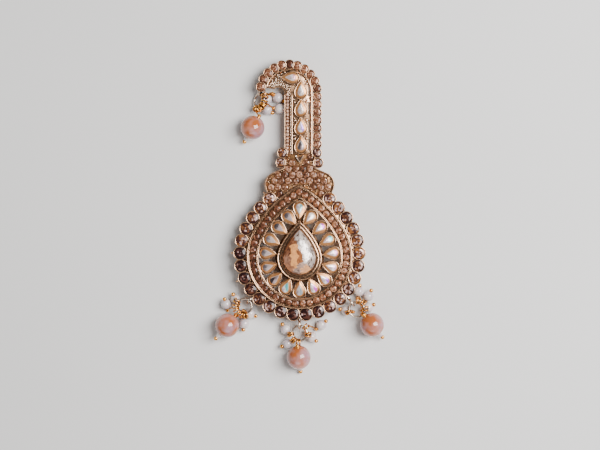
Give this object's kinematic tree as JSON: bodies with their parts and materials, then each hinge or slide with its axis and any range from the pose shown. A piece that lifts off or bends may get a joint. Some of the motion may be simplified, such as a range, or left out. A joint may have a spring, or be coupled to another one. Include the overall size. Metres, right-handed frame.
{
  "type": "turban ornament",
  "caption": "Drop-shaped turban ornament of set stones in pale gold metal, with a paved neck, a hooked stem and hanging pearl and glass bead clusters; lies face up.",
  "frame": {"origin": "middle of the flat foot of the back pin, on the surface that the ornament lies on", "axes": "+X to the right seen from the face, +Y from the medallion towards the hook, +Z out of the face"},
  "size_m": [0.0659, 0.1208, 0.0107],
  "materials": {
    "metal": "polished pale gold plating",
    "silver": "polished",
    "peach_stone": "faceted, foil-backed",
    "iridescent_stone": "faceted, foil-backed, iridescent coating",
    "peach_glass": "polished, milky",
    "pearl": "pearlescent"
  },
  "bodies": {
    "root": {"drop_frame": "metal", "neck_plate": "metal", "hook_stem": "metal", "back_pin": "metal", "centre_stone": "peach_stone", "ring_stone_01": "iridescent_stone", "ring_stone_02": "iridescent_stone", "ring_stone_03": "iridescent_stone", "ring_stone_04": "iridescent_stone", "ring_stone_05": "iridescent_stone", "ring_stone_06": "iridescent_stone", "ring_stone_07": "iridescent_stone", "ring_stone_08": "iridescent_stone", "ring_stone_09": "iridescent_stone", "ring_stone_10": "iridescent_stone", "ring_stone_11": "iridescent_stone", "ring_stone_12": "iridescent_stone", "ring_stone_13": "iridescent_stone", "ring_stone_14": "iridescent_stone", "ring_stone_15": "iridescent_stone", "ring_stone_16": "iridescent_stone", "stem_stone_1": "iridescent_stone", "stem_stone_2": "iridescent_stone", "stem_stone_3": "iridescent_stone", "stem_stone_4": "iridescent_stone", "stem_stone_5": "iridescent_stone", "jump_ring_left": "silver", "pearl_left_1": "pearl", "pearl_left_2": "pearl", "pearl_left_3": "pearl", "pearl_left_4": "pearl", "bead_drop_left": "peach_glass", "jump_ring_centre": "silver", "pearl_centre_1": "pearl", "pearl_centre_2": "pearl", "pearl_centre_3": "pearl", "pearl_centre_4": "pearl", "bead_drop_centre": "peach_glass", "jump_ring_right": "silver", "pearl_right_1": "pearl", "pearl_right_2": "pearl", "pearl_right_3": "pearl", "pearl_right_4": "pearl", "bead_drop_right": "peach_glass", "jump_ring_hook": "silver", "pearl_hook_1": "pearl", "pearl_hook_2": "pearl", "pearl_hook_3": "pearl", "pearl_hook_4": "pearl", "bead_drop_hook": "peach_glass"}
  },
  "joints": []
}
